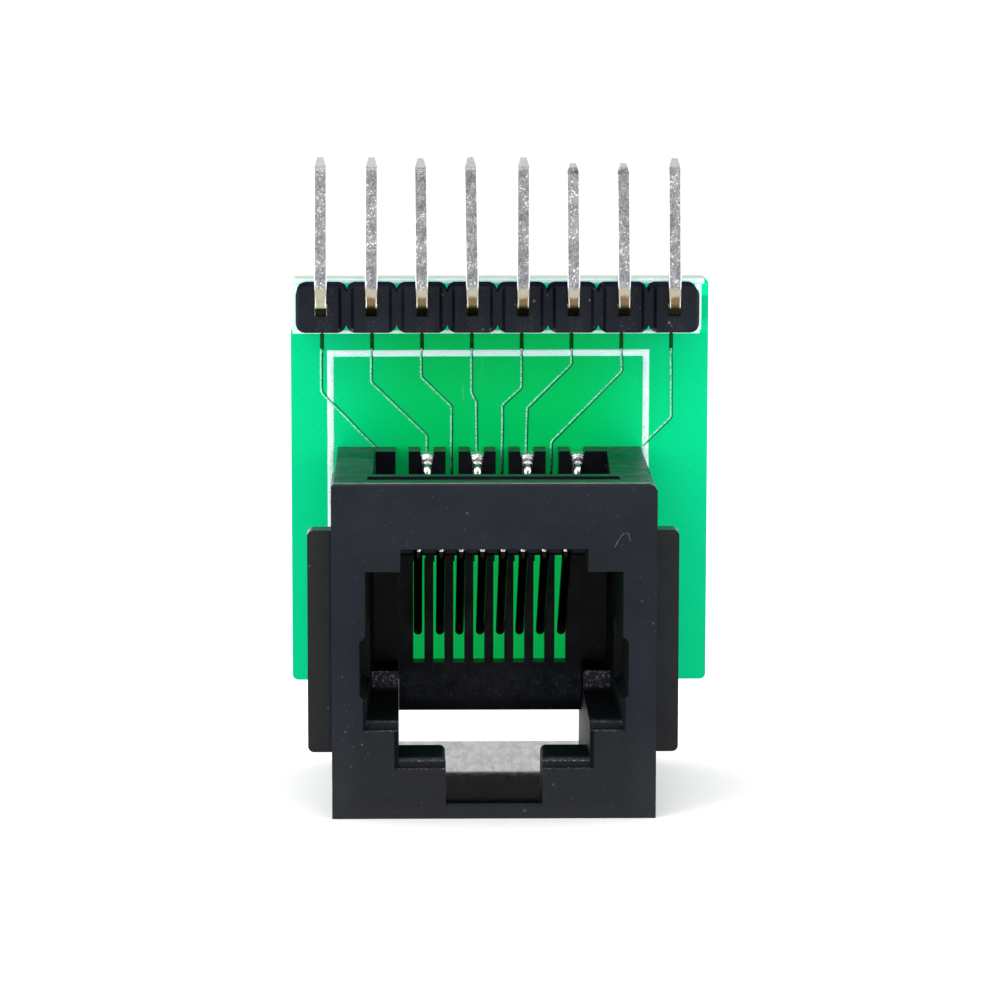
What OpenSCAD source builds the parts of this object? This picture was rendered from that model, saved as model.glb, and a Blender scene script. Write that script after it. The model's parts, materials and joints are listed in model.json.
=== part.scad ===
// Vertical 8P8C network jack soldered to a small breakout board, with an
// eight-way right-angle pin header. Millimetres, +Z up. The assembly stands on
// the jack's latch-side wall, with the jack's mouth facing -Y.

/* [Board] */
// Board width along X
pcb_w = 21.26; // [20.6:0.02:23]
// Board height along Z
pcb_h = 20.74; // [20.4:0.02:22]
// Board thickness
pcb_t = 1.6; // [1:0.2:2]
// Height of the board's lower edge above the surface the jack stands on
pcb_z = 4.2; // [4.1:0.02:4.3]
// Corner radius of the board
pcb_r = 0.3; // [0.1:0.05:1]

/* [Jack housing] */
// Centre line of the jack across the board
jack_x = -0.53; // [-0.8:0.01:0]
// Depth from the mating face to the board
jack_d = 13.8; // [13.6:0.1:14.4]
// Width of the mating face
jack_w = 15.68; // [15.4:0.02:16.4]
// Height of the mating face
jack_h = 16.4; // [16.3:0.05:17]
// Width of the body behind the front collar
body_w = 15.44; // [15:0.02:15.6]
// Height of the body behind the front collar
body_h = 16.3; // [16.1:0.02:16.32]
// Depth of the front collar
collar_d = 4.35; // [3.9:0.05:5]
// Half width of the plug opening at the mouth
mouth_x = 6.22; // [6.1:0.02:6.3]
// Half width of the plug cavity at its inner end
cavity_x = 5.9; // [5.86:0.02:6]
// Floor of the plug cavity
cavity_z0 = 4.66; // [4.6:0.02:4.7]
// Ceiling of the plug cavity at the mouth
cavity_z1 = 12.12; // [11.9:0.02:12.14]
// Half width of the latch and comb window
window_x = 4.64; // [4.6:0.02:4.7]
// Half width of the latch slot between the two latch stops
slot_x = 2.34; // [2.1:0.02:2.5]
// Top of the two latch stops
stop_z = 2.82; // [2.6:0.02:3]
// Depth of the two latch stops
stop_d = 4; // [3:0.1:5]
// Overall width across the panel stops
ear_w = 18.1; // [17:0.1:18.4]
// Radius of the two board locating pegs
peg_r = 1.55; // [1.4:0.05:1.6]

/* [Contacts] */
// Pitch of the contact wires in the plug cavity
wire_pitch = 1.016; // [1:0.002:1.02]
// Pitch of the soldered tails, alternate rows
tail_pitch = 1.27; // [1.25:0.01:1.29]
// Radius of a contact wire
wire_r = 0.22; // [0.15:0.01:0.22]
// Height of the straight upper run of the wires
run_z = 13; // [12.98:0.01:13.02]
// Height of the outer tail row above the inner one
row_step = 2.54; // [2.5:0.01:2.56]
// Slope of the wire's free leg below level, in degrees
leg_slope = 35.6; // [34:0.2:36.4]

/* [Header] */
// Centre line of the header across the board
header_x = -0.15; // [-0.3:0.01:0.2]
// Height of the pins where they pass through the block
header_z = 23.57; // [23.5:0.01:23.65]
// Pitch of the header pins
pin_pitch = 2.54; // [2.5:0.01:2.56]
// Height of the header block
block_h = 2.35; // [2.3:0.05:2.54]
// Thickness of the header block
block_d = 2.5; // [2.3:0.05:2.54]
// Radius of the long edges of the header lobes
lobe_r = 0.45; // [0.3:0.05:0.6]
// Side of the square pins
pin_s = 0.64; // [0.5:0.02:0.64]
// Height of the pin tips above the surface the jack stands on
pin_top = 31.3; // [28:0.1:34]
// Length of the pin tails behind the board
pin_tail = 1.3; // [1:0.1:1.5]

/* [Hidden] */
$fn = 48;
e = 0.01;
// The origin is the middle of the overall depth; yb is the board's front face.
total_y = jack_d + pcb_t + pin_tail;
yb = jack_d - total_y / 2;
yk = yb + pcb_t;
// Contact tails: number 1..8 from the left, odd ones in the inner row.
wire_off = [-0.1, 0, -0.03, 0, 0, -0.03, 0, 0.05];
function slot_cx(n) = (n - 4.5) * wire_pitch;
function wire_x(n) = slot_cx(n) + wire_off[n - 1];
function tail_x(n) = (n - 4.5) * tail_pitch;
function tail_z(n) = run_z + (n % 2 == 0 ? row_step : 0);
function pin_x(n) = header_x + (n - 4.5) * pin_pitch;
hole_tail_r = 0.45;
hole_pin_r = 0.5;
hole_peg_r = peg_r + 0.07;
peg_x = 5.715;
peg_z = 6.56;
// Wire bend over the nose of the insert: centre and radius of the centre line
nose_d = 4.6;
nose_r = 0.3;
deck_z = run_z - wire_r;
bend_r = nose_r + wire_r;
bend_z = run_z - bend_r;
leg_len = 8.2;
// Comb of the insert
comb_d0 = 11;
comb_d1 = 12.1;
comb_x = 4.63;
comb_slot = 0.56;
// Sideways offsets of the slots from their nominal pitch
slot_off = [-0.055, -0.055, -0.055, -0.055, -0.055, -0.055, -0.055, 0];
comb_z0 = 5.62;
comb_z1 = 10.82;
flange_d = 12;
flange_x = 5.8;
bay_x = 5.85;
bay_d = 3.23;
ear_d0 = 2.49;
ear_d1 = 3.7;
// Slight leans of the hand-bent pins, in degrees, and their tip heights
pin_lean = [0.2, 0.3, -0.5, -0.9, 0, -0.6, -0.8, -0.6];
pin_drop = [0, 0, 0.05, 0, 0, 0.3, 0.3, 0.05];

// Extrudes an (x, z) outline along the depth, from d0 to d1 behind the mating face
module deep(d0, d1) {
  translate([jack_x, yb - jack_d + d1, 0]) rotate([90, 0, 0]) linear_extrude(d1 - d0) children();
}
// Extrudes a (depth, z) outline across the jack, from x0 to x1
module across(x0, x1) {
  translate([jack_x + x0, yb - jack_d, 0]) rotate([90, 0, 90]) linear_extrude(x1 - x0) children();
}
// Extrudes an (x, depth) outline upward, from z0 to z1
module up(z0, z1) {
  translate([jack_x, yb - jack_d, z0]) linear_extrude(z1 - z0) children();
}
// Axis-aligned block in jack coordinates
module blk(x0, x1, d0, d1, z0, z1) {
  translate([jack_x + x0, yb - jack_d + d0, z0]) cube([x1 - x0, d1 - d0, z1 - z0]);
}
// Cylinder along the depth, in board coordinates
module rod_y(x, z, y0, y1, r) {
  translate([x, y1, z]) rotate([90, 0, 0]) cylinder(r = r, h = y1 - y0);
}
// Rectangle centred on x = 0
module rect(hx, z0, z1) { translate([-hx, z0]) square([2 * hx, z1 - z0]); }
// Rectangle with rounded corners
module round_rect(w, h, r) {
  translate([r, 0]) square([w - 2 * r, h]);
  translate([0, r]) square([w, h - 2 * r]);
  for (x = [r, w - r], y = [r, h - r]) translate([x, y]) circle(r);
}

module pcb() {
  color("mediumseagreen") difference() {
    translate([-pcb_w / 2, yk, pcb_z]) rotate([90, 0, 0])
      linear_extrude(pcb_t) round_rect(pcb_w, pcb_h, pcb_r);
    for (n = [1:8]) {
      rod_y(jack_x + tail_x(n), tail_z(n), yb - 1, yk + 1, hole_tail_r);
      rod_y(pin_x(n), header_z, yb - 1, yk + 1, hole_pin_r);
    }
    for (s = [-1, 1]) rod_y(jack_x + s * peg_x, peg_z, yb - 1, yk + 1, hole_peg_r);
  }
}

// Outer form of the housing: collar, narrower body, panel stops and pegs
module housing_body() {
  deep(0, collar_d) {
    polygon([[-jack_w / 2, 0], [jack_w / 2, 0], [jack_w / 2, jack_h - 0.38], [jack_w / 2 - 0.12, jack_h - 0.15],
      [jack_w / 2 - 0.38, jack_h], [-jack_w / 2 + 0.12, jack_h], [-jack_w / 2, jack_h - 0.12]]);
  }
  deep(collar_d - e, jack_d) translate([-body_w / 2, 0]) square([body_w, body_h]);
  // panel stops on both sides of the collar
  deep(ear_d0, ear_d1) translate([-ear_w / 2, 2.78]) round_rect(ear_w, 10.98, 0.3);
  for (s = [-1, 1]) {
    rod_y(jack_x + s * peg_x, peg_z, yb - 0.5, yk + 0.1, peg_r);
    translate([jack_x + s * peg_x, yk + 0.1, peg_z]) rotate([-90, 0, 0]) cylinder(r1 = peg_r, r2 = peg_r - 0.35, h = 0.45);
  }
}

// Plug cavity: tapered side walls with a chamfered lip at the floor
module cavity() {
  intersection() {
    up(0, 20) polygon([[-mouth_x, -e], [mouth_x, -e], [cavity_x, comb_d0], [-cavity_x, comb_d0]]);
    across(-7, 7) polygon([[-e, cavity_z0 - 0.37], [0.36, cavity_z0], [comb_d0, cavity_z0],
      [comb_d0, cavity_z1 - 0.35], [-e, cavity_z1]]);
  }
}

module jack_housing() {
  color([0.13, 0.13, 0.15]) difference() {
    housing_body();
    // plug cavity, without the two plug stops at its inner lower corners
    difference() {
      cavity();
      for (s = [-1, 1]) blk(s > 0 ? window_x : -7, s > 0 ? 7 : -window_x, 8.2, 12, 4, 5.72);
    }
    // shallow side grooves beside the plug
    deep(-1, 6) polygon([[-6.5, 6.05], [-6.5, 8.68], [-6.2, 8.95], [6.2, 8.95], [6.5, 8.68], [6.5, 6.05], [6.2, 5.78], [-6.2, 5.78]]);
    // narrower upper part of the mouth, under the contact bends
    deep(-1, bay_d + e) rect(4.52, 11, 13.22);
    // lip of the cavity's lower corners
    up(4.3, 5.8) polygon([[-6.35, -e], [6.35, -e], [6.1, 0.4], [-6.1, 0.4]]);
    // entry for the latch, with a chamfered lip
    across(-window_x, window_x) polygon([[-1, stop_z - 1.37], [0.35, stop_z], [stop_d, stop_z], [stop_d, 7], [-1, 7]]);
    up(stop_z - 0.38, 5) polygon([[-4.83, -e], [4.83, -e], [window_x, 0.3], [-window_x, 0.3]]);
    // latch slot, open at the front and ramped a little toward the rear
    across(-slot_x, slot_x) polygon([[-1, -0.25], [0.16, 0.72], [stop_d + 1, 0.77], [stop_d + 1, 4], [-1, 4]]);
    // eased upper corners of the latch stops
    deep(0.35, stop_d + 1) for (s = [-1, 1]) difference() {
      translate([s > 0 ? slot_x - e : -slot_x - 0.28, stop_z - 0.28]) square([0.28 + e, 0.28 + e]);
      translate([s * (slot_x + 0.28), stop_z - 0.28]) circle(0.28);
    }
    // latch room behind the stops, through to the rear, rounded at its upper corners
    intersection() {
      across(-window_x, window_x) polygon([[stop_d, 0.75], [jack_d + 1, 0.97], [jack_d + 1, 12], [stop_d, 12]]);
      union() {
        blk(-7, 7, stop_d - 1, comb_d0 + 0.3, 0, 14);
        deep(comb_d0, jack_d + 1) rect(window_x, 0, 14);
      }
    }
    // channel for the insert's deck and comb
    blk(-window_x, window_x, bay_d, jack_d + 1, 11, deck_z + e);
    // bay for the insert and the upper wire runs, open on top; its right wall has draft
    up(deck_z, 20) polygon([[-bay_x, bay_d], [bay_x - 0.12, bay_d], [bay_x + 0.16, jack_d + 1], [-bay_x, jack_d + 1]]);
    // seat of the insert's flange
    blk(-bay_x, bay_x + 0.09, flange_d - e, jack_d + 1, bend_z - nose_r - e, deck_z + e);
    // thin groove across the top of the collar
    blk(-6.1, 6.1, 1.38, 2.49, 15.1, 20);
  }
}

// Moulded insert: comb plate with a foot, deck with a round nose, rear flange
module contact_insert() {
  color([0.12, 0.12, 0.13]) difference() {
    union() {
      // comb plate and foot
      across(-comb_x, comb_x) polygon([[comb_d0, 3.16], [jack_d, 2.6], [jack_d, 4.7], [comb_d1, 4.7],
        [comb_d1, deck_z - 0.5], [comb_d0, deck_z - 0.5]]);
      // deck
      blk(-comb_x, comb_x, nose_d, jack_d, bend_z - nose_r, deck_z);
      translate([jack_x - comb_x, yb - jack_d + nose_d, bend_z]) rotate([0, 90, 0]) cylinder(r = nose_r, h = 2 * comb_x);
      // rear flange
      deep(flange_d, jack_d) polygon([[-flange_x, bend_z - nose_r], [flange_x + 0.13, bend_z - nose_r], [flange_x + 0.13, body_h], [-flange_x, body_h]]);
      // wire guides behind the nose
      for (n = [0:8]) blk(slot_cx(n + 0.5) - 0.15, slot_cx(n + 0.5) + 0.15, nose_d + 0.4, 6.7, deck_z - e, deck_z + 0.55);
    }
    // comb slots for the free ends of the wires
    for (n = [1:8]) {
      blk(slot_cx(n) + slot_off[n - 1] - comb_slot / 2, slot_cx(n) + slot_off[n - 1] + comb_slot / 2, comb_d0 - 1, comb_d1 + 0.4, comb_z0, comb_z1);
      blk(slot_cx(n) - 0.27, slot_cx(n) + 0.27, comb_d0 - 1, comb_d1 + 0.4, comb_z1 - e, 11.45);
    }
    // deep slots for the inner row of tails
    for (n = [1, 3, 5, 7]) deep(flange_d - 1, jack_d + 1) translate([tail_x(n), 0]) rect(0.33, deck_z, 20);
    // V notches for the outer row of tails
    for (n = [2, 4, 6, 8]) deep(flange_d - 1, jack_d + 1) translate([tail_x(n), 0]) vee(0, 17.2);
  }
}

// Notch outline around a tail of the outer row, wider toward its top
module vee(c, top) {
  zt = run_z + row_step;
  w = 0.24 + (top - zt - 0.05) * 0.18 - c;
  polygon([[-0.24 + c, zt - 0.5 + c], [0.24 - c, zt - 0.5 + c], [0.24 - c, zt + 0.05], [w, top], [-w, top], [-0.24 + c, zt + 0.05]]);
}

// Straight length of wire along +X from the origin
module w_run(l) { rotate([0, 90, 0]) cylinder(r = wire_r, h = l, $fn = 24); }
// Bend of the wire: turns toward +Y by angle a about a centre at [0, r]
module w_bend(r, a) { translate([0, r, 0]) rotate([0, 0, -90]) rotate_extrude(angle = a, $fn = 48) translate([r, 0]) circle(wire_r, $fn = 24); }

// One contact wire: free leg, bend over the nose, upper run with a side step to
// the tail pitch, and the tail through the board. Built along the depth axis.
module wire(n) {
  s = tail_x(n) - wire_x(n);
  a = asin(0.352);
  jr = 0.5;
  jl = (abs(s) - 2 * jr * 0.064) / 0.352;
  j0 = 7.2;
  j1 = j0 + 2 * jr * 0.352 + jl * 0.936;
  color([0.83, 0.7, 0.42]) translate([jack_x + wire_x(n), yb - jack_d, 0]) {
    // free leg with a domed end, and the bend over the nose
    translate([0, nose_d, bend_z]) rotate([0, 0, 90]) {
      // local x is the depth direction, local y is -X, local z is up
      rotate([90, 0, 0]) {
        rotate([0, 0, 90]) rotate_extrude(angle = 180 - leg_slope, $fn = 48) translate([bend_r, 0]) circle(wire_r, $fn = 24);
        rotate([0, 0, 270 - leg_slope]) translate([bend_r, 0, 0]) rotate([-90, 0, 0]) {
          cylinder(r = wire_r, h = leg_len, $fn = 24);
          translate([0, 0, leg_len]) dome();
        }
      }
    }
    // straight run, then the side step to the tail pitch, then the tail
    translate([0, nose_d, run_z]) rotate([0, 0, 90]) mirror([0, s > 0 ? 1 : 0, 0]) {
      w_run(j0 - nose_d);
      translate([j0 - nose_d, 0, 0]) {
        w_bend(jr, a);
        translate([jr * 0.352, jr * 0.064, 0]) rotate([0, 0, a]) {
          w_run(jl);
          translate([jl, 0, 0]) {
            mirror([0, 1, 0]) w_bend(jr, a);
            translate([jr * 0.352, -jr * 0.064, 0]) rotate([0, 0, -a]) tail(n, j1);
          }
        }
      }
    }
  }
}
// Rest of a wire from depth d: straight back through the board, or for the outer
// row first up in front of the flange and then back through its notch
module tail(n, d) {
  up_d = 11.45;
  ur = 0.4;
  if (n % 2 == 1) {
    w_run(jack_d + pcb_t + 1 - d);
    translate([jack_d + pcb_t + 1 - d, 0, 0]) rotate([0, 90, 0]) dome();
  } else {
    w_run(up_d - ur - d);
    translate([up_d - ur - d, 0, 0]) rotate([90, 0, 0]) {
      w_bend(ur, 90);
      translate([ur, ur, 0]) rotate([0, 0, 90]) {
        w_run(row_step - 2 * ur);
        translate([row_step - 2 * ur, 0, 0]) {
          mirror([0, 1, 0]) w_bend(ur, 90);
          translate([ur, -ur, 0]) rotate([0, 0, -90]) {
            w_run(jack_d + pcb_t + 1 - up_d - ur);
            translate([jack_d + pcb_t + 1 - up_d - ur, 0, 0]) rotate([0, 90, 0]) dome();
          }
        }
      }
    }
  }
}
// Rounded end of a wire
module dome() { rotate_extrude($fn = 24) intersection() { circle(wire_r, $fn = 24); square(1); } }
module contact_wire_1() { wire(1); }
module contact_wire_2() { wire(2); }
module contact_wire_3() { wire(3); }
module contact_wire_4() { wire(4); }
module contact_wire_5() { wire(5); }
module contact_wire_6() { wire(6); }
module contact_wire_7() { wire(7); }
module contact_wire_8() { wire(8); }

// One lobe of the header block about its pin, with rounded long edges; the
// outer ends of the row are rounder
module lobe(n) {
  w = pin_pitch / 2;
  h = block_h / 2;
  ra = n == 1 ? 0.5 : lobe_r;
  rb = n == 8 ? 0.5 : lobe_r;
  ca = n == 1 ? w - 0.5 : w - lobe_r + 0.005;
  cb = n == 8 ? w - 0.5 : w - lobe_r + 0.005;
  ka = h - ra + sqrt(ra * ra - (w - ca) * (w - ca));
  kb = h - rb + sqrt(rb * rb - (w - cb) * (w - cb));
  linear_extrude(block_d) polygon([[-w, -ka], [-ca, -h], [cb, -h], [w, -kb], [w, kb], [cb, h], [-ca, h], [-w, ka]]);
  for (s = [-1, 1]) {
    translate([-ca, s * (h - ra), 0]) cylinder(r = ra, h = block_d, $fn = 48);
    translate([cb, s * (h - rb), 0]) cylinder(r = rb, h = block_d, $fn = 48);
  }
}
module header_block() {
  color([0.1, 0.1, 0.12]) difference() {
    for (n = [1:8]) intersection() {
      translate([pin_x(n), yb, header_z + 0.025]) rotate([90, 0, 0]) lobe(n);
      // front corners of each lobe eased back toward the webs
      translate([pin_x(n), yb, header_z - 2]) linear_extrude(4) polygon([[-pin_pitch / 2, 0], [pin_pitch / 2, 0],
        [pin_pitch / 2, 0.14 - block_d], [pin_pitch / 2 - 0.14, -block_d], [0.14 - pin_pitch / 2, -block_d], [-pin_pitch / 2, 0.14 - block_d]]);
    }
    // recessed webs between the lobes
    for (n = [1:7]) translate([pin_x(n) + pin_pitch / 2, yb - block_d, header_z - 2]) linear_extrude(4)
      polygon([[-0.4, -e], [-0.26, 0.2], [-0.24, 0.26], [0.24, 0.26], [0.26, 0.2], [0.4, -e]]);
    for (n = [1:8]) translate([pin_x(n) - pin_s / 2, yb - block_d - 1, header_z - pin_s / 2]) cube([pin_s, block_d + 2, pin_s]);
  }
}

// One header pin: square wire, bent up at the face of the block
module pin(n) {
  h = pin_s / 2;
  ri = 0.12;
  rc = ri + h;
  yv = block_d + 0.1 + h;
  // half width at the bend, where the wire is drawn in
  hb = 0.27;
  up_l = pin_top - pin_drop[n - 1] - header_z - rc;
  lx = round(up_l * tan(pin_lean[n - 1]) * 1000) / 1000;
  lt = round(0.55 * tan(pin_lean[n - 1]) * 1000) / 1000;
  l1 = round(1.2 * tan(pin_lean[n - 1]) * 1000) / 1000;
  color([0.78, 0.77, 0.72]) translate([pin_x(n), yb, header_z]) {
    // through part: tail behind the board to the start of the bend
    translate([-h, 0.15 - yv + rc, -h]) cube([pin_s, yv - rc - 0.15 + pcb_t + pin_tail - 0.3, pin_s]);
    translate([-hb, -yv + rc, -h]) cube([2 * hb, 0.2, pin_s]);
    translate([0, pcb_t + pin_tail - 0.3, 0]) rotate([-90, 0, 0]) tip(0.3);
    // bend
    translate([-hb, -yv + rc, rc]) rotate([180, 0, 0]) rotate([90, 0, 90]) rotate_extrude(angle = 90)
      translate([ri, 0]) square([pin_s, 2 * hb]);
    // upright shank with its slight lean and tapered end
    translate([0, -yv, rc]) intersection() {
      translate([0, h, 0]) rotate([90, 0, 0]) linear_extrude(pin_s) polygon([[-hb, 0], [hb, 0], [h + l1, 1.2], [h + lx - lt, up_l - 0.55],
        [lx + 0.16, up_l], [lx - 0.16, up_l], [-h + lx - lt, up_l - 0.55], [-h + l1, 1.2]]);
      translate([-3, 0, 0]) rotate([90, 0, 90]) linear_extrude(6) polygon([[-h, 0], [h, 0], [h, up_l - 0.55],
        [0.16, up_l], [-0.16, up_l], [-h, up_l - 0.55]]);
    }
  }
}
// Four-sided tapered end of a pin, pointing +Z
module tip(l) {
  h = pin_s / 2;
  t = h - 0.16;
  intersection() {
    translate([-h, h, 0]) rotate([90, 0, 0]) linear_extrude(pin_s) polygon([[0, 0], [2 * h, 0], [h + t, l], [h - t, l]]);
    translate([-h, -h, 0]) rotate([90, 0, 90]) linear_extrude(pin_s) polygon([[0, 0], [2 * h, 0], [h + t, l], [h - t, l]]);
  }
}
module header_pin_1() { pin(1); }
module header_pin_2() { pin(2); }
module header_pin_3() { pin(3); }
module header_pin_4() { pin(4); }
module header_pin_5() { pin(5); }
module header_pin_6() { pin(6); }
module header_pin_7() { pin(7); }
module header_pin_8() { pin(8); }

// Solder: fills the plated hole, with a fillet on the back, and for the outer
// row of contact tails also a web in the insert's notch on the front
module jack_solder_joints() {
  color([0.8, 0.8, 0.82]) for (n = [1:8]) difference() {
    union() {
      rod_y(jack_x + tail_x(n), tail_z(n), yb, yk, hole_tail_r);
      translate([jack_x + tail_x(n), yk, tail_z(n)]) rotate([-90, 0, 0]) cylinder(r1 = 0.72, r2 = 0.3, h = 0.8);
      if (n % 2 == 0) deep(flange_d + 0.04, jack_d) translate([tail_x(n), 0]) vee(0.01, tail_z(n) + 0.58);
    }
    rod_y(jack_x + tail_x(n), tail_z(n), yb - 3, yk + 3, wire_r);
  }
}
module header_solder_joints() {
  color([0.8, 0.8, 0.82]) for (n = [1:8]) difference() {
    union() {
      rod_y(pin_x(n), header_z, yb, yk, hole_pin_r);
      translate([pin_x(n), yk, header_z]) rotate([-90, 0, 0]) cylinder(r1 = 0.85, r2 = 0.5, h = 0.9);
    }
    translate([pin_x(n) - pin_s / 2, yb - 1, header_z - pin_s / 2]) cube([pin_s, pcb_t + 4, pin_s]);
  }
}

pcb();
jack_housing();
contact_insert();
contact_wire_1();
contact_wire_2();
contact_wire_3();
contact_wire_4();
contact_wire_5();
contact_wire_6();
contact_wire_7();
contact_wire_8();
header_block();
header_pin_1();
header_pin_2();
header_pin_3();
header_pin_4();
header_pin_5();
header_pin_6();
header_pin_7();
header_pin_8();
jack_solder_joints();
header_solder_joints();
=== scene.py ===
import json
import math
import random
import bpy
import bmesh
from mathutils import Matrix, Vector


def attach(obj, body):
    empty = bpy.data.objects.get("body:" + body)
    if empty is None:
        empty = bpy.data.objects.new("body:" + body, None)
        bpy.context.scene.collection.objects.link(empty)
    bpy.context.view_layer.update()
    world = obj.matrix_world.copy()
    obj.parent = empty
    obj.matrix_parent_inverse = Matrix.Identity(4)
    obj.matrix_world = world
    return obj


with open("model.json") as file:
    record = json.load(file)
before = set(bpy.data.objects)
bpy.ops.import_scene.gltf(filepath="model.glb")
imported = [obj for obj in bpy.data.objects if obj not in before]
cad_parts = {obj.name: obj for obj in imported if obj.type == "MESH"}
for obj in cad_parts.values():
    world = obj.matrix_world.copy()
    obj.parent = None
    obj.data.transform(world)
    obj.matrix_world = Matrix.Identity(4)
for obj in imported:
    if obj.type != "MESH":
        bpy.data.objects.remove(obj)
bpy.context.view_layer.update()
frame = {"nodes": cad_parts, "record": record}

MM = 0.001
nodes = frame["nodes"]
random.seed(7)

# Reference lines of the frame, in mm: the jack's centre line, the board's faces
JX = -0.53
HX = -0.15
YB = 5.45
YK = 7.05
YF = YB - 13.8


# ---------------------------------------------------------------- node helpers
class Mat:
    """A material under construction: short helpers for its nodes."""

    def __init__(self, name):
        self.m = bpy.data.materials.new(name)
        self.m.use_nodes = True
        self.t = self.m.node_tree
        self.t.nodes.clear()
        self.out = self.t.nodes.new("ShaderNodeOutputMaterial")
        self.b = self.t.nodes.new("ShaderNodeBsdfPrincipled")
        self.t.links.new(self.b.outputs[0], self.out.inputs[0])
        tc = self.t.nodes.new("ShaderNodeTexCoord")
        self.obj = tc.outputs["Object"]
        self.nrm = tc.outputs["Normal"]

    def link(self, a, b):
        self.t.links.new(a, b)

    def put(self, value, socket):
        if isinstance(value, bpy.types.NodeSocket):
            self.t.links.new(value, socket)
        elif value is not None:
            socket.default_value = value

    def noise(self, scale, detail=3.0, rough=0.55, dist=0.0, co=None, out="Fac"):
        n = self.t.nodes.new("ShaderNodeTexNoise")
        n.inputs["Scale"].default_value = scale
        n.inputs["Detail"].default_value = detail
        n.inputs["Roughness"].default_value = rough
        n.inputs["Distortion"].default_value = dist
        self.link(co or self.obj, n.inputs["Vector"])
        return n.outputs[out]

    def voronoi(self, scale, feature="F1", co=None, out="Distance"):
        n = self.t.nodes.new("ShaderNodeTexVoronoi")
        n.feature = feature
        n.inputs["Scale"].default_value = scale
        self.link(co or self.obj, n.inputs["Vector"])
        return n.outputs[out]

    def stretch(self, sx, sy, sz):
        n = self.t.nodes.new("ShaderNodeMapping")
        n.inputs["Scale"].default_value = (sx, sy, sz)
        self.link(self.obj, n.inputs["Vector"])
        return n.outputs[0]

    def xyz(self, co=None):
        n = self.t.nodes.new("ShaderNodeSeparateXYZ")
        self.link(co or self.obj, n.inputs[0])
        return n.outputs

    def ramp(self, fac, stops, interp="LINEAR"):
        n = self.t.nodes.new("ShaderNodeValToRGB")
        r = n.color_ramp
        r.interpolation = interp
        while len(r.elements) > 1:
            r.elements.remove(r.elements[-1])
        for i, (p, c) in enumerate(stops):
            el = r.elements[0] if i == 0 else r.elements.new(p)
            el.position = p
            el.color = c if len(c) == 4 else (*c, 1)
        self.link(fac, n.inputs[0])
        return n.outputs[0]

    def rng(self, v, a, b, c=0.0, d=1.0, smooth=True):
        n = self.t.nodes.new("ShaderNodeMapRange")
        n.interpolation_type = "SMOOTHSTEP" if smooth else "LINEAR"
        n.clamp = True
        self.put(v, n.inputs[0])
        for i, x in enumerate((a, b, c, d)):
            n.inputs[i + 1].default_value = x
        return n.outputs[0]

    def math(self, op, a, b=None, c=None):
        n = self.t.nodes.new("ShaderNodeMath")
        n.operation = op
        for i, x in enumerate((a, b, c)):
            self.put(x, n.inputs[i])
        return n.outputs[0]

    def mix(self, fac, a, b, mode="MIX"):
        n = self.t.nodes.new("ShaderNodeMix")
        n.data_type = "RGBA"
        n.blend_type = mode
        self.put(fac, n.inputs[0])
        for x, s in ((a, n.inputs[6]), (b, n.inputs[7])):
            if isinstance(x, tuple):
                s.default_value = (*x, 1) if len(x) == 3 else x
            else:
                self.link(x, s)
        return n.outputs[2]

    def bump(self, height, strength, distance, under=None):
        n = self.t.nodes.new("ShaderNodeBump")
        n.inputs["Strength"].default_value = strength
        n.inputs["Distance"].default_value = distance
        self.link(height, n.inputs["Height"])
        if under is not None:
            self.link(under, n.inputs["Normal"])
        return n.outputs[0]

    def set(self, **kw):
        names = {"color": "Base Color", "rough": "Roughness", "metal": "Metallic", "normal": "Normal",
                 "ior": "IOR", "spec": "Specular IOR Level", "coat": "Coat Weight", "coat_rough": "Coat Roughness",
                 "alpha": "Alpha", "emit": "Emission Color", "emit_k": "Emission Strength", "sheen": "Sheen Weight", "sss": "Subsurface Weight", "aniso": "Anisotropic"}
        for k, v in kw.items():
            s = self.b.inputs[names[k]]
            if isinstance(v, tuple) and len(v) == 3:
                v = (*v, 1)
            self.put(v, s)
        return self.m


def srgb(r, g, b):
    """Linear colour from 0..255 display values."""
    def f(c):
        c = c / 255.0
        return c / 12.92 if c <= 0.04045 else ((c + 0.055) / 1.055) ** 2.4
    return (f(r), f(g), f(b))


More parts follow.
